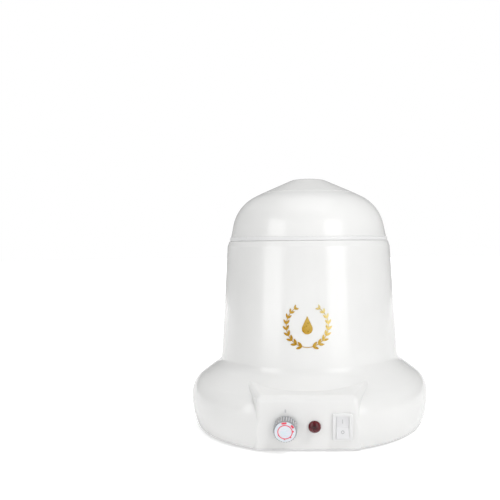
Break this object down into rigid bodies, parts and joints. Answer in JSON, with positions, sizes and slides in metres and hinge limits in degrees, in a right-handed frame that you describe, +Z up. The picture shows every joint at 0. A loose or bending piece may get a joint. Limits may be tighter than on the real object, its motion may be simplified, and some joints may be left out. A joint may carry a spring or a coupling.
{
  "type": "depilatory wax heater",
  "caption": "Bell-shaped electric wax warmer with lift-off dome lid, removable aluminium pot with bail, thermostat knob, pilot lamp and rocker switch.",
  "frame": {"origin": "on the floor under the middle of the bell, at the underside of the rubber ring", "axes": "+Z up along the bell's axis, control panel towards -Y, mains cord leaves at +Y, +X to the right seen from the front"},
  "size_m": [0.206, 0.2733, 0.2113],
  "materials": {
    "white_shell": "glossy white moulding",
    "white_trim": "white, slightly less glossy",
    "base_grey": "matt white plate",
    "foot_rubber": "matt",
    "screw_steel": "zinc plated",
    "well_aluminium": "spun, satin",
    "pot_aluminium": "spun, satin",
    "bail_steel": "polished wire",
    "band_mica": "mica core in a thin metal jacket",
    "glass_wool": "glass fibre felt",
    "phenolic": "moulded dark phenolic",
    "brass_plated": "brass",
    "pin_nickel": "nickel plated",
    "knob_translucent": "translucent grey-blue",
    "scale_red": "printed",
    "index_grey": "printed",
    "lens_red": "dark red transparent",
    "neon_glass": "clear",
    "switch_white": "semi-gloss",
    "rocker_white": "semi-gloss",
    "mark_grey": "printed",
    "cord_pvc": "white PVC, satin",
    "tie_grey": "soft strap",
    "wire_pvc": "coloured silicone insulation",
    "gold_foil": "gold foil"
  },
  "bodies": {
    "housing": {"housing_shell": "white_shell", "base_plate": "base_grey", "anti_slip_ring": "foot_rubber", "base_screws": "screw_steel", "rim_ring": "white_trim", "heating_well": "well_aluminium", "well_screws": "screw_steel", "heater_band": "band_mica", "band_bolts": "screw_steel", "insulation_wrap": "glass_wool", "thermal_fuse": "glass_wool", "fuse_clip": "screw_steel", "thermostat_body": "phenolic", "thermostat_nut": "brass_plated", "thermostat_terminals": "brass_plated", "panel_index": "index_grey", "lamp_lens": "lens_red", "neon_bulb": "neon_glass", "lamp_clip": "screw_steel", "switch_frame": "switch_white", "switch_terminals": "brass_plated", "terminal_block": "base_grey", "block_screws": "brass_plated", "cord_clamp": "base_grey", "clamp_screws": "screw_steel", "cord_grommet": "cord_pvc", "power_cord": "cord_pvc", "cord_tie": "tie_grey", "plug_body": "cord_pvc", "plug_pins": "pin_nickel", "internal_wires": "wire_pvc", "front_emblem": "gold_foil"},
    "lid": {"lid_shell": "white_shell"},
    "wax_pot": {"wax_pot": "pot_aluminium", "pot_ears": "screw_steel", "pot_rivets": "screw_steel"},
    "bail": {"pot_bail": "bail_steel"},
    "dial": {"thermostat_shaft": "brass_plated", "thermostat_knob": "knob_translucent", "knob_scale": "scale_red"},
    "rocker": {"switch_rocker": "rocker_white", "rocker_marks": "mark_grey"}
  },
  "joints": [
    {"name": "lid_lift", "type": "slide", "parent": "housing", "child": "lid", "axis": [0, 0, 1], "range_m": [0, 0.28]},
    {"name": "pot_lift", "type": "slide", "parent": "housing", "child": "wax_pot", "axis": [0, 0, 1], "range_m": [0, 0.14]},
    {"name": "bail_swing", "type": "hinge", "parent": "wax_pot", "child": "bail", "pos_m": [0, 0, 0.15165], "axis": [1, 0, 0], "range_deg": [0, 180]},
    {"name": "knob_turn", "type": "hinge", "parent": "housing", "child": "dial", "pos_m": [-0.016, -0.096, 0.02], "axis": [0, -0.9848, -0.1736], "range_deg": [0, 250]},
    {"name": "rocker_tilt", "type": "hinge", "parent": "housing", "child": "rocker", "pos_m": [0.0258, -0.096, 0.02], "axis": [1, 0, 0], "range_deg": [0, 20]}
  ],
  "couplings": [
    {"joint": "pot_lift", "follows": "lid_lift", "ratio": 0.5}
  ]
}
